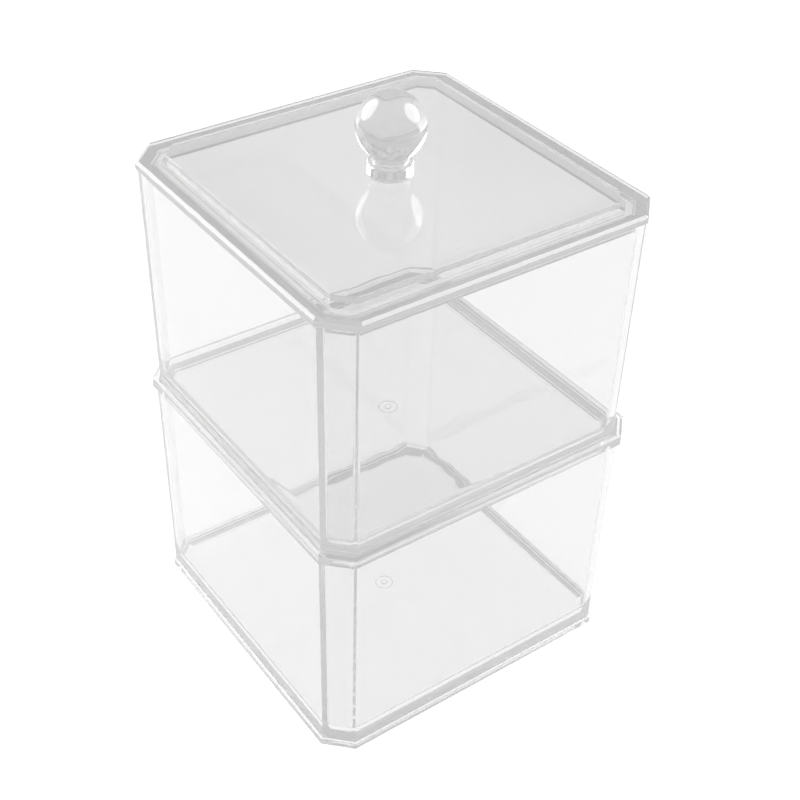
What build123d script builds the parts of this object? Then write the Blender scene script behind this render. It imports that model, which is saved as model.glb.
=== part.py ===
from build123d import *
from math import radians, sqrt, tan
import os

# A clear case of two square boxes that stack, under a lid with a ball knob.
# Lengths are in millimetres and angles in degrees. Widths run across opposite flats.

# Boxes
BOX_WIDTH = 94.6            # outside of the lower box, at its rim
UPPER_INSET = 0.4           # how far the upper box's walls stand inside the lower ones
LOWER_HEIGHT = 67.0
UPPER_HEIGHT = 67.0
WALL = 3.0
FLOOR = 2.3
DRAFT = 0.4                 # lean of every box wall, wider at the rim
CORNER_CUT = 6.5            # leg of the cut across each box corner, at the rim
INSIDE_CORNER_ROUND = 0.8
INSIDE_FLOOR_ROUND = 4.4

# Plinth of the lower box
PLINTH_PROUD = 0.6          # how far it stands out from the wall above it
PLINTH_HEIGHT = 2.1

# Foot of the upper box, which sits on the rim of the lower box
FOOT_OVERHANG = 0.8         # past the rim below
FOOT_HEIGHT = 3.4
FOOT_CORNER_CUT = 6.4

# Lid
LID_OVERHANG = 0.6          # past the rim below
FLANGE_THICKNESS = 2.2
LID_CORNER_CUT = 7.2
LEDGE_WIDTH = 6.55          # from the edge of the lid to its raised panel
PANEL_RISE = 1.45
PANEL_CORNER_CUT = 4.2

# Step under the upper box and ring under the lid, which drop inside the rim below
STEP_CLEARANCE = 0.35       # to the wall around them
STEP_ROUND = 0.4
FOOT_STEP_DEPTH = 1.8
LID_RING_DEPTH = 3.0
LID_RING_THICKNESS = 2.1

# Edges that the mould leaves on the outside
TOP_CHAMFER = 0.7           # upper edges of the foot and the lid
UPRIGHT_ROUND = 0.4
EDGE_ROUND = 0.25           # lower edges, and those of the plinth and the panel

# Gate mark under the middle of each floor
GATE_DIAMETER = 5.0
GATE_DEPTH = 0.4
GATE_NUB_DIAMETER = 1.6

# Knob, bonded to the middle of the panel
BALL_DIAMETER = 17.2
NECK_DIAMETER = 8.6
NECK_HEIGHT = 1.6           # bare neck between the collar and the ball
COLLAR_DIAMETER = 11.4
COLLAR_HEIGHT = 3.25
COLLAR_ROUND = 0.6

STANDING = (Align.CENTER, Align.CENTER, Align.MIN)


def cut_square(width, cut):
    """A square face with its four corners cut off at 45 degrees."""
    return chamfer(Rectangle(width, width).vertices(), cut)


def inset(face, distance):
    """The same face moved in on every side, or out for a negative distance."""
    return offset(face, -distance, kind=Kind.INTERSECTION)


def upright_edges(block):
    """The edges that run up a block from its bottom to its top."""
    return block.edges().filter_by(lambda edge: abs(edge.tangent_at(0.5).Z) > 0.3)


def end_edges(block, end):
    """The edges around the bottom face of a block for end 0, or its top face for end -1."""
    return block.faces().sort_by(Axis.Z)[end].edges()


def lean(block, level, angle):
    """The same block with its sides leaning in above a level, or out for a negative angle."""
    sides = block.faces().filter_by(lambda side: abs(side.normal_at().Z) < 0.5)
    return draft(sides, Plane.XY.offset(level), angle)


def leaning_block(rim, bottom, top):
    """A block under a rim face, narrower at the bottom by the draft of the mould."""
    block = extrude(Pos(0, 0, bottom) * rim, top - bottom)
    return lean(block, top, -DRAFT)


def round_sides(plate):
    """The same plate with its upright and lower edges rounded."""
    plate = fillet(upright_edges(plate), UPRIGHT_ROUND)
    return fillet(end_edges(plate, 0), EDGE_ROUND)


def chamfered_plate(face, thickness):
    """A plate that stands on a face, with a chamfer round its top."""
    plate = extrude(face, thickness)
    return round_sides(chamfer(end_edges(plate, -1), TOP_CHAMFER))


def box_room(rim, height):
    """The room inside a box, with rounded corners and a rounded floor."""
    room = leaning_block(inset(rim, WALL), FLOOR, height)
    room = fillet(upright_edges(room), INSIDE_CORNER_ROUND)
    return fillet(end_edges(room, 0), INSIDE_FLOOR_ROUND)


def box_block(rim, height):
    """The block that a box is hollowed from."""
    return fillet(upright_edges(leaning_block(rim, 0, height)), UPRIGHT_ROUND)


def step(rim, depth):
    """A solid step that hangs down inside a rim, with its top level with the rim."""
    block = extrude(inset(rim, WALL + STEP_CLEARANCE), -depth)
    block = fillet(upright_edges(block), INSIDE_CORNER_ROUND)
    return fillet(end_edges(block, 0), STEP_ROUND)


def gate_mark():
    """The shallow round recess that the mould leaves under a floor, around a nub."""
    recess = Cylinder(GATE_DIAMETER / 2, GATE_DEPTH, align=STANDING)
    nub = Cylinder(GATE_NUB_DIAMETER / 2, GATE_DEPTH, align=STANDING)
    return recess - nub


def make_lower_box(rim):
    """Open box on a low plinth that stands a little proud of its walls."""
    wall_run = LOWER_HEIGHT * tan(radians(DRAFT))
    plinth_face = inset(rim, wall_run - PLINTH_PROUD)
    plinth = round_sides(extrude(plinth_face, PLINTH_HEIGHT))
    plinth = fillet(end_edges(plinth, -1), EDGE_ROUND)
    body = box_block(rim, LOWER_HEIGHT) + plinth
    return body - box_room(rim, LOWER_HEIGHT) - gate_mark()


def make_upper_box(rim, rim_below):
    """Open box with a foot that covers the rim below and a step that drops inside it."""
    foot_face = cut_square(BOX_WIDTH + 2 * FOOT_OVERHANG, FOOT_CORNER_CUT)
    foot = chamfered_plate(foot_face, FOOT_HEIGHT)
    body = box_block(rim, UPPER_HEIGHT) + foot + step(rim_below, FOOT_STEP_DEPTH)
    return body - box_room(rim, UPPER_HEIGHT) - Pos(0, 0, -FOOT_STEP_DEPTH) * gate_mark()


def raised_panel(face):
    """The middle of the lid, with upright sides and a flat top."""
    panel = fillet(upright_edges(extrude(face, FLANGE_THICKNESS + PANEL_RISE)), UPRIGHT_ROUND)
    return fillet(end_edges(panel, -1), EDGE_ROUND)


def make_lid(rim_below, rim_width):
    """Flanged lid with a raised panel above and a ring below that drops inside the rim."""
    lid_width = rim_width + 2 * LID_OVERHANG
    flange = chamfered_plate(cut_square(lid_width, LID_CORNER_CUT), FLANGE_THICKNESS)
    panel = raised_panel(cut_square(lid_width - 2 * LEDGE_WIDTH, PANEL_CORNER_CUT))
    ring_inside = inset(rim_below, WALL + STEP_CLEARANCE + LID_RING_THICKNESS)
    ring_room = fillet(upright_edges(extrude(ring_inside, -LID_RING_DEPTH)), INSIDE_CORNER_ROUND)
    return flange + panel + step(rim_below, LID_RING_DEPTH) - ring_room


def make_knob():
    """Ball on a short neck that rises from a collar."""
    ball_radius = BALL_DIAMETER / 2
    neck_radius = NECK_DIAMETER / 2
    neck_top = COLLAR_HEIGHT + NECK_HEIGHT
    ball_centre = neck_top + sqrt(ball_radius**2 - neck_radius**2)
    collar = Cylinder(COLLAR_DIAMETER / 2, COLLAR_HEIGHT, align=STANDING)
    collar = fillet(end_edges(collar, -1), COLLAR_ROUND)
    neck = Cylinder(neck_radius, ball_centre, align=STANDING)
    ball = Pos(0, 0, ball_centre) * Sphere(ball_radius)
    return collar + neck + ball


def main():
    upper_width = BOX_WIDTH - 2 * UPPER_INSET
    lower_rim = cut_square(BOX_WIDTH, CORNER_CUT)
    upper_rim = cut_square(upper_width, CORNER_CUT)
    upper_seat = LOWER_HEIGHT
    lid_seat = upper_seat + UPPER_HEIGHT
    knob_seat = lid_seat + FLANGE_THICKNESS + PANEL_RISE
    nodes = {
        "lower_box": make_lower_box(lower_rim),
        "upper_box": Pos(0, 0, upper_seat) * make_upper_box(upper_rim, lower_rim),
        "lid": Pos(0, 0, lid_seat) * make_lid(upper_rim, upper_width),
        "knob": Pos(0, 0, knob_seat) * make_knob(),
    }
    os.makedirs("parts", exist_ok=True)
    for name, solid in nodes.items():
        export_step(solid, f"parts/{name}.step")


main()
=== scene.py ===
from math import pi, radians, sqrt, tan

import bpy
import numpy as np
from mathutils import Matrix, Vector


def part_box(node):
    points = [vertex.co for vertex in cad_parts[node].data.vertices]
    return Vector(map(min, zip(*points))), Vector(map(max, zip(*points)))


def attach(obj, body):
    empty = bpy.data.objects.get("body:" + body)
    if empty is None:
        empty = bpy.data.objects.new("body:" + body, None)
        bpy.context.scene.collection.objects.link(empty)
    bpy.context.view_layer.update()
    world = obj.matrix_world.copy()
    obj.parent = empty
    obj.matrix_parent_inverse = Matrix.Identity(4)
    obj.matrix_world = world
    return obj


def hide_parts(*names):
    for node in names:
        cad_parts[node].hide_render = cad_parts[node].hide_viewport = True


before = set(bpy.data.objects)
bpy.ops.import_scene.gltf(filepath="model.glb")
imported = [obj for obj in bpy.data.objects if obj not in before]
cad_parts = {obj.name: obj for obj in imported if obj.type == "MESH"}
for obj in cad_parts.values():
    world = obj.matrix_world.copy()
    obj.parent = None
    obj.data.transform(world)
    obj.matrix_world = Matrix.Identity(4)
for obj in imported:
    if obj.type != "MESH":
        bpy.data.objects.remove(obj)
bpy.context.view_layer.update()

# Lower box
# An open square box with cut corners, moulded in one piece from clear hard plastic. Its walls lean
# out by the draft of the mould, it stands on a low plinth, and its floor meets the walls in a
# wide round. Under the middle of the floor is the mark of the mould's gate.
WALL = 0.003
FLOOR = 0.0023
DRAFT = radians(0.4)
CORNER_CUT = 0.0065
UPRIGHT_ROUND = 0.0004
EDGE_ROUND = 0.00025
ROOT_ROUND = 0.0003
ROOM_CORNER_ROUND = 0.0008
ROOM_FLOOR_ROUND = 0.0044
PLINTH_PROUD = 0.0006
PLINTH_HEIGHT = 0.0021
GATE_RADIUS = 0.0025
GATE_NUB_RADIUS = 0.0008
GATE_DEPTH = 0.0004
GATE_ROUND = 0.00015
AIR_GAP = 0.00004           # thin film of air where two pieces rest on each other
MITRE = 2 - sqrt(2)         # change in the cut's leg for each unit that the sides move in
SMALLEST_ROUND = 0.00002
WELD_DIGITS = 9             # points that agree to a nanometre are one point

INDEX = 1.5                 # refractive index of the plastic
PAINTED_GLOW_TONE = 0.64            # painted glow: tone that light tends to on a long way through the plastic, from the haze's own light, standing in for light scattered in it
ABSORBED = 0.5              # share of the haze that takes light away
SHADOW_PASS = 0.984         # share of the lamp's light that each surface lets by
RIPPLE_START = 0.042        # from the middle: no ripples past here
RIPPLE_FULL = 0.034         # and full ripples within here
STREAK_DENSITY = 120        # per metre, across the walls
STREAK_STRETCH = 0.12       # up the walls, against that
STREAK_HEIGHT = 0.000006


def moved_in(outline, inset):
    """The cut square (half width, cut leg, corner round) with its sides moved in."""
    half, cut, corner = outline
    return half - inset, cut - MITRE * inset, corner


def circle(radius):
    """A circle as a cut square whose corner rounds meet."""
    return radius, MITRE * radius, radius


def bend(outline, height, radius, start, stop, outward=True, hollow=False, steps=4):
    """Profile rows round an arc that touches an outline: centre + radius (cos a, sin a).

    The centre stands in from the outline by the radius, or out by it where outward is false.
    Every row is half width, cut leg, corner round, height and the two shares of the normal,
    which points along the arc's radius, or against it on a hollow arc.
    """
    angle = np.radians(np.linspace(start, stop, steps + 1))
    half, cut, corner = outline
    inset = (radius if outward else -radius) - radius * np.cos(angle)
    facing = -1.0 if hollow else 1.0
    columns = (
        half - inset,
        cut - MITRE * inset,
        np.maximum(corner - inset, SMALLEST_ROUND),
        height + radius * np.sin(angle),
        facing * np.cos(angle),
        facing * np.sin(angle),
    )
    return np.stack(columns, axis=1)


def gate_mark(base):
    """Rows for the shallow round recess under a floor, from its nub out to its rim."""
    r, top = GATE_ROUND, base + GATE_DEPTH
    nub, recess = circle(GATE_NUB_RADIUS), circle(GATE_RADIUS)
    return np.vstack([
        bend(nub, base + r, r, -90, 0),
        bend(nub, top - r, r, 180, 90, outward=False, hollow=True),
        bend(recess, top - r, r, 90, 0, hollow=True),
        bend(recess, base + r, r, 180, 270, outward=False),
    ])


def room_rows(rim, top, floor):
    """Rows over the rim of a box, down its inner walls and round onto its floor."""
    r, big = EDGE_ROUND, ROOM_FLOOR_ROUND
    room = moved_in(rim, WALL)[:2] + (ROOM_CORNER_ROUND,)
    low_room = moved_in(room, (top - floor - big) * tan(DRAFT))
    return np.vstack([
        bend(rim, top - r, r, 0, 90),
        bend(room, top - r, r, 90, 180, outward=False),
        bend(low_room, floor + big, big, 0, -90, hollow=True, steps=10),
    ])


def clear_piece(name, rows, body, node, steps=6):
    """Carries a profile round a cut square, closes both ends flat and adds it as a piece.

    Side k faces the angle 45 k degrees at a distance d_k: half the width on the flats and
    (width - cut) / sqrt 2 on the cuts. The round between sides k and k + 1 has its centre where
    the two sides meet once both have moved in by the radius, d_k n_k + (sqrt 2 d_k+1 - d_k) t_k,
    and sweeps the 45 degrees between them. Normals follow the profile and the sweep. On a circle
    the sides have no length, so the points at their ends are welded into one.
    """
    half, cut, corner, height, out, up = (column[:, None, None] for column in rows.T)
    side = np.arange(8)[None, :, None]
    facing = side * pi / 4
    flat, slant = half - corner, (2 * half - cut) / sqrt(2) - corner
    near = np.where(side % 2 == 0, flat, slant)
    far = np.where(side % 2 == 0, slant, flat)
    along = sqrt(2) * far - near
    angle = facing + np.linspace(0, pi / 4, steps + 1)[None, None, :]
    x = near * np.cos(facing) - along * np.sin(facing) + corner * np.cos(angle)
    y = near * np.sin(facing) + along * np.cos(facing) + corner * np.sin(angle)
    level = np.zeros_like(x)
    points = np.stack([x, y, height + level], axis=-1).reshape(-1, 3)
    normals = np.stack([out * np.cos(angle), out * np.sin(angle), up + level], axis=-1)
    normals = normals.reshape(-1, 3)

    around, count = 8 * (steps + 1), len(rows)
    here = np.arange(around)
    following = (here + 1) % around
    start = around * np.arange(count - 1)[:, None]
    upper = start + around
    quads = np.stack([start + here, start + following, upper + following, upper + here], axis=-1)
    near_points = points.round(WELD_DIGITS)
    _, first, weld = np.unique(near_points, axis=0, return_index=True, return_inverse=True)
    weld = weld.reshape(-1)
    quads = weld[quads.reshape(-1, 4)]
    low_point, high_point = quads[:, 0] == quads[:, 1], quads[:, 2] == quads[:, 3]
    ends = [weld[loop] for loop in (here[::-1], around * (count - 1) + here)]
    faces = quads[~low_point & ~high_point].tolist()
    faces += quads[low_point & ~high_point, 1:].tolist()
    faces += quads[high_point & ~low_point, :3].tolist()
    faces += [loop[loop != np.roll(loop, 1)].tolist() for loop in ends]

    mesh = bpy.data.meshes.new(name)
    mesh.from_pydata(points[first].tolist(), [], faces)
    mesh.polygons.foreach_set("use_smooth", np.ones(len(mesh.polygons), dtype=bool))
    mesh.normals_split_custom_set_from_vertices(normals[first].tolist())
    mesh.update()
    piece = bpy.data.objects.new(name, mesh)
    bpy.context.scene.collection.objects.link(piece)
    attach(piece, body)
    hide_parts(node)
    return piece


def clear_plastic(name, tint, haze, ripple, ripple_size):
    """Clear moulded plastic, a little milky, with slow ripples in its flat middle.

    The ripples fade out towards the walls, which the mould leaves true but for faint upright
    streaks. The haze inside takes light away, and a painted glow in it lifts the light on its way
    through towards a set tone, standing in for light scattered in the slightly milky plastic.
    Shadow rays pass straight through.
    """
    material = bpy.data.materials.new(name)
    material.use_nodes = True
    tree = material.node_tree
    tree.nodes.clear()
    add, link = tree.nodes.new, tree.links.new
    body = add("ShaderNodeBsdfPrincipled")
    body.inputs["Base Color"].default_value = (tint, tint, tint, 1)
    body.inputs["Transmission Weight"].default_value = 1.0
    body.inputs["IOR"].default_value = INDEX
    body.inputs["Roughness"].default_value = 0.0

    place = add("ShaderNodeTexCoord")
    size = add("ShaderNodeVectorMath")
    size.operation = "ABSOLUTE"
    parts = add("ShaderNodeSeparateXYZ")
    widest = add("ShaderNodeMath")
    widest.operation = "MAXIMUM"
    middle = add("ShaderNodeMapRange")
    middle.interpolation_type = "SMOOTHSTEP"
    middle.inputs["From Min"].default_value = RIPPLE_START
    middle.inputs["From Max"].default_value = RIPPLE_FULL
    middle.inputs["To Min"].default_value = 0.0
    middle.inputs["To Max"].default_value = ripple
    link(place.outputs["Object"], size.inputs[0])
    link(size.outputs[0], parts.inputs[0])
    link(parts.outputs["X"], widest.inputs[0])
    link(parts.outputs["Y"], widest.inputs[1])
    link(widest.outputs[0], middle.inputs["Value"])

    noise = add("ShaderNodeTexNoise")
    noise.inputs["Scale"].default_value = 1 / ripple_size
    noise.inputs["Detail"].default_value = 1.0
    noise.inputs["Roughness"].default_value = 0.4
    link(place.outputs["Object"], noise.inputs["Vector"])
    waves = add("ShaderNodeMath")
    waves.operation = "MULTIPLY"
    link(noise.outputs["Fac"], waves.inputs[0])
    link(middle.outputs[0], waves.inputs[1])

    stretch = add("ShaderNodeMapping")
    stretch.inputs["Scale"].default_value = (1, 1, STREAK_STRETCH)
    streaks = add("ShaderNodeTexNoise")
    streaks.inputs["Scale"].default_value = STREAK_DENSITY
    streaks.inputs["Detail"].default_value = 1.0
    link(place.outputs["Object"], stretch.inputs[0])
    link(stretch.outputs[0], streaks.inputs["Vector"])
    relief = add("ShaderNodeMath")
    relief.operation = "MULTIPLY_ADD"
    relief.inputs[1].default_value = STREAK_HEIGHT
    link(streaks.outputs["Fac"], relief.inputs[0])
    link(waves.outputs[0], relief.inputs[2])
    bump = add("ShaderNodeBump")
    bump.inputs["Strength"].default_value = 1.0
    bump.inputs["Distance"].default_value = 1.0
    link(relief.outputs[0], bump.inputs["Height"])
    link(bump.outputs["Normal"], body.inputs["Normal"])

    passing = add("ShaderNodeBsdfTransparent")
    passing.inputs["Color"].default_value = (SHADOW_PASS, SHADOW_PASS, SHADOW_PASS, 1)
    path = add("ShaderNodeLightPath")
    mix = add("ShaderNodeMixShader")
    link(path.outputs["Is Shadow Ray"], mix.inputs[0])
    link(body.outputs[0], mix.inputs[1])
    link(passing.outputs[0], mix.inputs[2])
    depth = add("ShaderNodeVolumeAbsorption")
    depth.inputs["Color"].default_value = (1 - ABSORBED, 1 - ABSORBED, 1 - ABSORBED, 1)
    depth.inputs["Density"].default_value = haze
    # Painted glow: the haze gives off light of its own, lifting the plastic towards a set tone in
    # place of light scattered inside it.
    painted_glow = add("ShaderNodeEmission")
    painted_glow.inputs["Strength"].default_value = PAINTED_GLOW_TONE * ABSORBED * haze
    inside = add("ShaderNodeAddShader")
    link(depth.outputs[0], inside.inputs[0])
    link(painted_glow.outputs[0], inside.inputs[1])
    clear = add("ShaderNodeMixShader")
    link(path.outputs["Is Shadow Ray"], clear.inputs[0])
    link(inside.outputs[0], clear.inputs[1])
    output = add("ShaderNodeOutputMaterial")
    link(mix.outputs[0], output.inputs["Surface"])
    link(clear.outputs[0], output.inputs["Volume"])
    return material


box_plastic = clear_plastic(
    "clear_box_plastic", tint=0.91, haze=40.0, ripple=0.00012, ripple_size=0.011
)

lower_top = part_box("lower_box")[1][2] - AIR_GAP
plinth_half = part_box("lower_box")[1][0]
lower_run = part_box("lower_box")[1][2] * tan(DRAFT)
lower_half = plinth_half + lower_run - PLINTH_PROUD
lower_rim = (lower_half, CORNER_CUT, UPRIGHT_ROUND)
plinth = moved_in(lower_rim, lower_half - plinth_half)[:2] + (EDGE_ROUND,)
low_wall = moved_in(lower_rim, lower_run - PLINTH_HEIGHT * tan(DRAFT))
lower_rows = np.vstack([
    gate_mark(0.0),
    bend(plinth, EDGE_ROUND, EDGE_ROUND, -90, 0),
    bend(plinth, PLINTH_HEIGHT - EDGE_ROUND, EDGE_ROUND, 0, 90),
    bend(low_wall, PLINTH_HEIGHT + ROOT_ROUND, ROOT_ROUND, 270, 180, outward=False, hollow=True),
    room_rows(lower_rim, lower_top, FLOOR),
])
lower_piece = clear_piece(
    "lower_box_moulding", lower_rows, "lower_tier", "lower_box"
)
lower_piece.data.materials.append(box_plastic)

# Upper box
# The same kind of moulding, on a flanged foot that covers the rim below. A shallow step under its
# floor drops inside that rim and keeps the box from sliding off.
STEP_CLEARANCE = 0.00035
STEP_ROUND = 0.0004
FOOT_HEIGHT = 0.0034
FOOT_CORNER_CUT = 0.0064
TOP_CHAMFER = 0.0007
CRISP_ROUND = 0.0001
LID_OVERHANG = 0.0006


def step_rows(rim, seat, depth, overhang):
    """Rows under a piece that sits on a rim, from the edge of its step out to its own edge."""
    r = EDGE_ROUND
    step = moved_in(rim, WALL + STEP_CLEARANCE)[:2] + (ROOM_CORNER_ROUND,)
    return np.vstack([
        bend(step, seat - depth + STEP_ROUND, STEP_ROUND, -90, 0),
        bend(step, seat - r, r, 180, 90, outward=False, hollow=True),
        bend(overhang, seat + r, r, -90, 0),
    ])


def chamfer_rows(outline, top):
    """Rows up a side and over the chamfer round its top, whose two edges are barely rounded.

    The chamfer slopes at 45 degrees, so each small round starts tan 22.5 radii before its edge.
    """
    r = CRISP_ROUND
    start = r * tan(pi / 8)
    head = moved_in(outline, TOP_CHAMFER + start - r)
    return np.vstack([
        bend(outline, top - TOP_CHAMFER - start, r, 0, 45, steps=2),
        bend(head, top - r, r, 45, 90, steps=2),
    ])


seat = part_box("lower_box")[1][2]
foot_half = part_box("upper_box")[1][0]
foot_step_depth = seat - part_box("upper_box")[0][2]
upper_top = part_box("upper_box")[1][2]
upper_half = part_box("lid")[1][0] - LID_OVERHANG
upper_rim = (upper_half, CORNER_CUT, UPRIGHT_ROUND)
foot = (foot_half, FOOT_CORNER_CUT, UPRIGHT_ROUND)
foot_top = seat + FOOT_HEIGHT
upper_wall = moved_in(upper_rim, (upper_top - foot_top) * tan(DRAFT))
upper_rows = np.vstack([
    gate_mark(seat - foot_step_depth),
    step_rows(lower_rim, seat, foot_step_depth, foot),
    chamfer_rows(foot, foot_top),
    bend(upper_wall, foot_top + ROOT_ROUND, ROOT_ROUND, 270, 180, outward=False, hollow=True),
    room_rows(upper_rim, upper_top - AIR_GAP, seat + FLOOR),
])
upper_piece = clear_piece(
    "upper_box_moulding", upper_rows, "upper_tier", "upper_box"
)
upper_piece.data.materials.append(box_plastic)

# Lid
# A clear moulding: a thick plate with a raised panel, a flange with a chamfered edge, and a thin
# ring below that drops inside the upper rim. It lifts straight off.
FLANGE_THICKNESS = 0.0022
LID_CORNER_CUT = 0.0072
LEDGE_WIDTH = 0.00655
PANEL_CORNER_CUT = 0.0042
RING_THICKNESS = 0.0021

lid_seat = upper_top
lid_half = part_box("lid")[1][0]
ring_depth = lid_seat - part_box("lid")[0][2]
panel_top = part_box("lid")[1][2]
ledge = lid_seat + FLANGE_THICKNESS
flange = (lid_half, LID_CORNER_CUT, UPRIGHT_ROUND)
panel = (lid_half - LEDGE_WIDTH, PANEL_CORNER_CUT, UPRIGHT_ROUND)
ring_inset = WALL + STEP_CLEARANCE + RING_THICKNESS
ring_inside = moved_in(upper_rim, ring_inset)[:2] + (ROOM_CORNER_ROUND,)
lid_rows = np.vstack([
    bend(ring_inside, lid_seat - CRISP_ROUND, CRISP_ROUND, 90, 0, hollow=True),
    bend(ring_inside, lid_seat - ring_depth + EDGE_ROUND, EDGE_ROUND, 180, 270, outward=False),
    step_rows(upper_rim, lid_seat, ring_depth, flange),
    chamfer_rows(flange, ledge),
    bend(panel, ledge + CRISP_ROUND, CRISP_ROUND, 270, 180, outward=False, hollow=True),
    bend(panel, panel_top - EDGE_ROUND, EDGE_ROUND, 0, 90),
])
lid_piece = clear_piece("lid_moulding", lid_rows, "lid_and_knob", "lid")
lid_plastic = clear_plastic(
    "clear_lid_plastic", tint=0.84, haze=120.0, ripple=0.00004, ripple_size=0.014
)
lid_piece.data.materials.append(lid_plastic)

# Knob
# A ball on a short neck and collar, moulded solid in the same clear plastic and bonded to the
# middle of the lid by the flat underside of its collar.
NECK_RADIUS = 0.0043
COLLAR_RADIUS = 0.0057
COLLAR_HEIGHT = 0.00325
COLLAR_ROUND = 0.0006
COLLAR_FOOT_ROUND = 0.0001
POLE = 89.5                 # angle at which the ball's top is closed flat, in degrees

ball_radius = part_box("knob")[1][0]
knob_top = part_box("knob")[1][2]
ball_centre = knob_top - ball_radius
join = np.degrees(np.arccos(NECK_RADIUS / ball_radius))
collar, neck = circle(COLLAR_RADIUS), circle(NECK_RADIUS)
collar_top = panel_top + COLLAR_HEIGHT
knob_rows = np.vstack([
    bend(collar, panel_top + AIR_GAP + COLLAR_FOOT_ROUND, COLLAR_FOOT_ROUND, -90, 0),
    bend(collar, collar_top - COLLAR_ROUND, COLLAR_ROUND, 0, 90, steps=8),
    bend(neck, collar_top + ROOT_ROUND, ROOT_ROUND, 270, 180, outward=False, hollow=True),
    bend(circle(ball_radius), ball_centre, ball_radius, -join, POLE, steps=64),
])
knob_piece = clear_piece("knob_ball", knob_rows, "lid_and_knob", "knob", steps=12)
knob_plastic = clear_plastic(
    "clear_knob_plastic", tint=0.92, haze=40.0, ripple=0.00001, ripple_size=0.006
)
knob_piece.data.materials.append(knob_plastic)

# The studio
# A white table, greyed with painted shade away from the case, a bright soft room, and the camera
# of the photograph, which looks down at the case from its front left corner.
TABLE_REACH = 4.0
TABLE_DROP = 0.0002         # below the base, so that the two don't share a surface
TABLE_TONE = 0.93           # round the case, as far as TABLE_NEAR from its middle
TABLE_FAR_TONE = 0.5        # painted shade: the table's tone from TABLE_FAR on
TABLE_NEAR = 0.52
TABLE_FAR = 0.8
ROOM_TONE = 0.62            # below and above the horizon, up to LOW_UP
MIDDLE_TONE = 0.6           # at MIDDLE_UP
OVERHEAD_TONE = 0.66        # straight up
LOW_UP = 0.2                # both are sines of the angle above the horizon
MIDDLE_UP = 0.6
PATCH_SCALE = 7.0           # soft patches of the room, and how far their tones swing
NOISE_LOW = 0.35
NOISE_HIGH = 0.65
PATCH_DARK = 0.8
PATCH_LIGHT = 1.2
SOFT_LIGHTS = ((0.77, -0.36, 0.52), (-0.45, 0.77, 0.45))
SOFT_LIGHT_STRENGTH = 6.0
SOFT_LIGHT_EDGE = 0.88      # about the cosine of the angle from a light's middle to its edge
SOFT_LIGHT_CORE = 0.92      # and to where it is at its full strength
FADE_FROM = 3.0             # bounces over which the soft lights fade out of reflections
FADE_TO = 5.0
LAMP_ANGLE = radians(40)
LAMP_STRENGTH = 4.1
LAMP_TURN = (radians(-12), radians(8), 0)
CAMERA_PLACE = (-0.17480, -0.24435, 0.30084)
CAMERA_YAW = radians(-36.349)
CAMERA_DOWN = radians(37.68)
CAMERA_ROLL = radians(1.772)
CAMERA_LENS = 63.38         # millimetres, on a sensor of CAMERA_SENSOR
CAMERA_SENSOR = 36
CAMERA_NEAR = 0.01

table_mesh = bpy.data.meshes.new("table")
square = ((-1, -1), (1, -1), (1, 1), (-1, 1))
corners = [(x * TABLE_REACH, y * TABLE_REACH, -TABLE_DROP) for x, y in square]
table_mesh.from_pydata(corners, [], [(0, 1, 2, 3)])
table = bpy.data.objects.new("table", table_mesh)
bpy.context.scene.collection.objects.link(table)
white = bpy.data.materials.new("white_table")
white.use_nodes = True
paper = white.node_tree.nodes["Principled BSDF"]
sheet = white.node_tree.nodes.new("ShaderNodeTexCoord")
far = white.node_tree.nodes.new("ShaderNodeVectorMath")
far.operation = "LENGTH"
# Painted shade: the table's colour darkens from its tone near the case to a grey far from it.
painted_falloff = white.node_tree.nodes.new("ShaderNodeMapRange")
painted_falloff.interpolation_type = "SMOOTHSTEP"
painted_falloff.inputs["From Min"].default_value = TABLE_NEAR
painted_falloff.inputs["From Max"].default_value = TABLE_FAR
painted_falloff.inputs["To Min"].default_value = TABLE_TONE
painted_falloff.inputs["To Max"].default_value = TABLE_FAR_TONE
white.node_tree.links.new(sheet.outputs["Object"], far.inputs[0])
white.node_tree.links.new(far.outputs["Value"], painted_falloff.inputs["Value"])
white.node_tree.links.new(painted_falloff.outputs[0], paper.inputs["Base Color"])
paper.inputs["Roughness"].default_value = 1.0
paper.inputs["Specular IOR Level"].default_value = 0.0
table_mesh.materials.append(white)

scene = bpy.context.scene
world = bpy.data.worlds.new("bright_room")
scene.world = world
world.use_nodes = True
world.cycles_visibility.diffuse = False
tree = world.node_tree
back = tree.nodes["Background"]
back.inputs["Color"].default_value = (1, 1, 1, 1)
place = tree.nodes.new("ShaderNodeTexCoord")
split = tree.nodes.new("ShaderNodeSeparateXYZ")
ramp = tree.nodes.new("ShaderNodeValToRGB")
stops = ramp.color_ramp.elements
stops[0].position = 0.0
stops[0].color = (ROOM_TONE, ROOM_TONE, ROOM_TONE, 1)
stops[1].position = 1.0
stops[1].color = (OVERHEAD_TONE, OVERHEAD_TONE, OVERHEAD_TONE, 1)
for at, tone in ((LOW_UP, ROOM_TONE), (MIDDLE_UP, MIDDLE_TONE)):
    stops.new(at).color = (tone, tone, tone, 1)
tree.links.new(place.outputs["Generated"], split.inputs[0])
tree.links.new(split.outputs["Z"], ramp.inputs[0])
room = tree.nodes.new("ShaderNodeTexNoise")
room.inputs["Scale"].default_value = PATCH_SCALE
room.inputs["Detail"].default_value = 1.0
tree.links.new(place.outputs["Generated"], room.inputs["Vector"])
uneven = tree.nodes.new("ShaderNodeMapRange")
uneven.inputs["From Min"].default_value = NOISE_LOW
uneven.inputs["From Max"].default_value = NOISE_HIGH
uneven.inputs["To Min"].default_value = PATCH_DARK
uneven.inputs["To Max"].default_value = PATCH_LIGHT
tree.links.new(room.outputs["Fac"], uneven.inputs["Value"])
tones = tree.nodes.new("ShaderNodeMath")
tones.operation = "MULTIPLY"
tree.links.new(ramp.outputs[0], tones.inputs[0])
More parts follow.
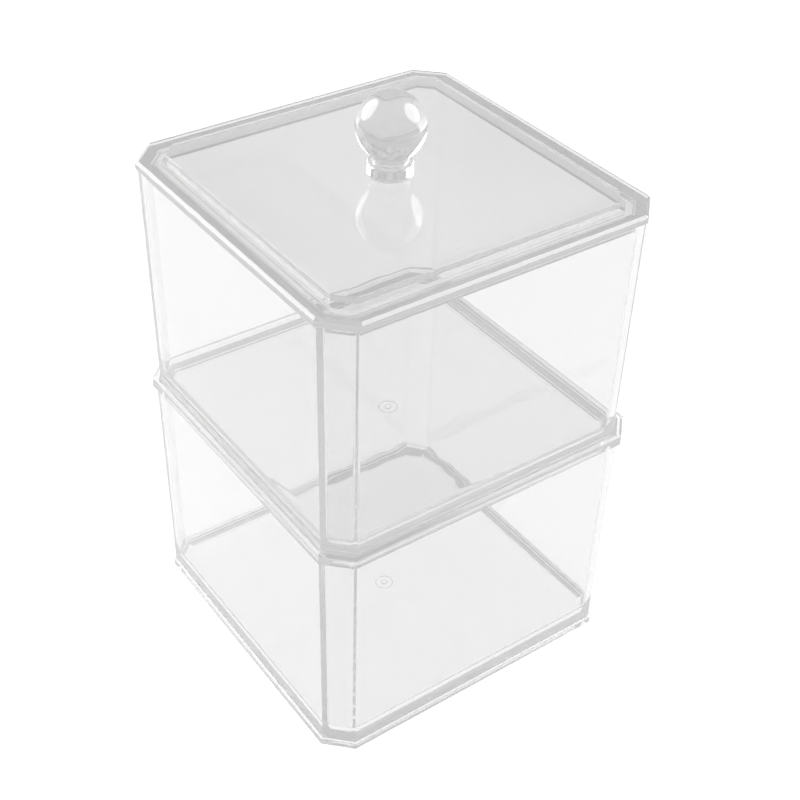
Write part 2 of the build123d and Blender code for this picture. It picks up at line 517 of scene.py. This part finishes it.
tree.links.new(uneven.outputs[0], tones.inputs[1])
glow = tones.outputs[0]
bounce = tree.nodes.new("ShaderNodeLightPath")
shallow = tree.nodes.new("ShaderNodeMapRange")
shallow.inputs["From Min"].default_value = FADE_TO
shallow.inputs["From Max"].default_value = FADE_FROM
tree.links.new(bounce.outputs["Ray Depth"], shallow.inputs["Value"])
for direction in SOFT_LIGHTS:
    towards = tree.nodes.new("ShaderNodeVectorMath")
    towards.operation = "DOT_PRODUCT"
    towards.inputs[1].default_value = direction
    tree.links.new(place.outputs["Generated"], towards.inputs[0])
    disc = tree.nodes.new("ShaderNodeMapRange")
    disc.interpolation_type = "SMOOTHSTEP"
    disc.inputs["From Min"].default_value = SOFT_LIGHT_EDGE
    disc.inputs["From Max"].default_value = SOFT_LIGHT_CORE
    disc.inputs["To Max"].default_value = SOFT_LIGHT_STRENGTH
    tree.links.new(towards.outputs["Value"], disc.inputs["Value"])
    shown = tree.nodes.new("ShaderNodeMath")
    shown.operation = "MULTIPLY"
    tree.links.new(disc.outputs[0], shown.inputs[0])
    tree.links.new(shallow.outputs[0], shown.inputs[1])
    total = tree.nodes.new("ShaderNodeMath")
    tree.links.new(glow, total.inputs[0])
    tree.links.new(shown.outputs[0], total.inputs[1])
    glow = total.outputs[0]
tree.links.new(glow, back.inputs["Strength"])

lamp = bpy.data.lights.new("overhead_softbox", "SUN")
lamp.angle = LAMP_ANGLE
lamp.energy = LAMP_STRENGTH
lamp.cycles.use_multiple_importance_sampling = False
softbox = bpy.data.objects.new("overhead_softbox", lamp)
softbox.rotation_euler = LAMP_TURN
scene.collection.objects.link(softbox)

lens = bpy.data.cameras.new("photo_camera")
lens.lens = CAMERA_LENS
lens.sensor_width = CAMERA_SENSOR
lens.clip_start = CAMERA_NEAR
camera = bpy.data.objects.new("photo_camera", lens)
scene.collection.objects.link(camera)
aim = Matrix.Rotation(CAMERA_YAW, 4, "Z") @ Matrix.Rotation(pi / 2 - CAMERA_DOWN, 4, "X")
camera.matrix_world = Matrix.Translation(CAMERA_PLACE) @ aim @ Matrix.Rotation(CAMERA_ROLL, 4, "Z")
scene.camera = camera

scene.view_settings.view_transform = "Standard"
scene.cycles.max_bounces = 40
scene.cycles.transmission_bounces = 40
scene.cycles.glossy_bounces = 24
scene.cycles.transparent_max_bounces = 64
scene.cycles.caustics_refractive = False
scene.cycles.caustics_reflective = False
